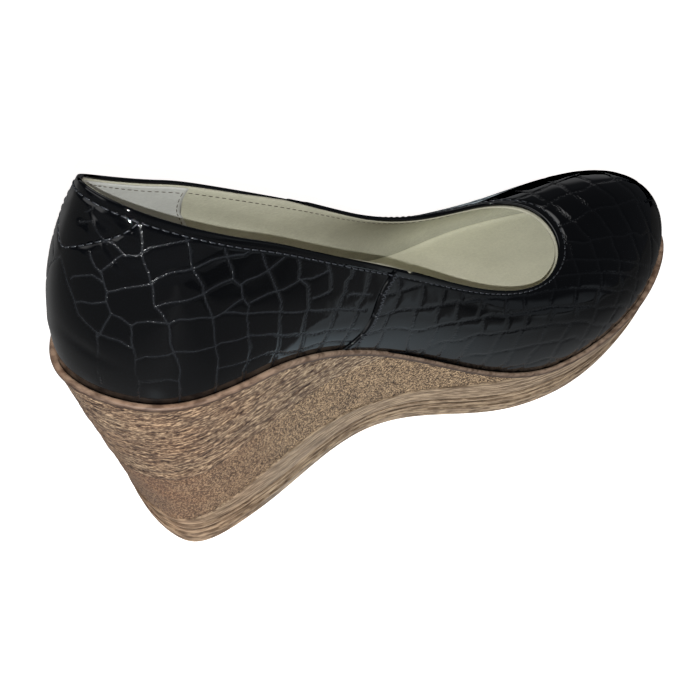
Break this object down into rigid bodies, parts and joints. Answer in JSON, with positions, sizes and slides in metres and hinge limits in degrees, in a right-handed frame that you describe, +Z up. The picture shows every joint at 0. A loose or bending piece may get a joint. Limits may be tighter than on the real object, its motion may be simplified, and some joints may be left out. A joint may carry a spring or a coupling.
{
  "type": "platform shoe",
  "caption": "Closed court shoe for the left foot in black embossed patent leather, on a tall jute and cork wedge platform.",
  "frame": {"origin": "on the floor, under the middle of the shoe's box", "axes": "+X to the toe, +Y to the outer side of the foot, +Z up"},
  "size_m": [0.2488, 0.0826, 0.1302],
  "materials": {
    "outsole_rubber": "matt, tan",
    "jute_band": "streaky jute, matt",
    "cork": "fine cork, matt",
    "jute": "streaky jute, matt",
    "rim_bead": "satin",
    "sock_leather": "satin, finely creased",
    "patent_leather": "high gloss, reptile embossed"
  },
  "bodies": {
    "root": {"outsole": "outsole_rubber", "platform": "jute_band", "cork_wedge": "cork", "heel_layer": "jute", "sole_rim": "rim_bead", "insole": "sock_leather", "upper": "patent_leather"}
  },
  "joints": []
}
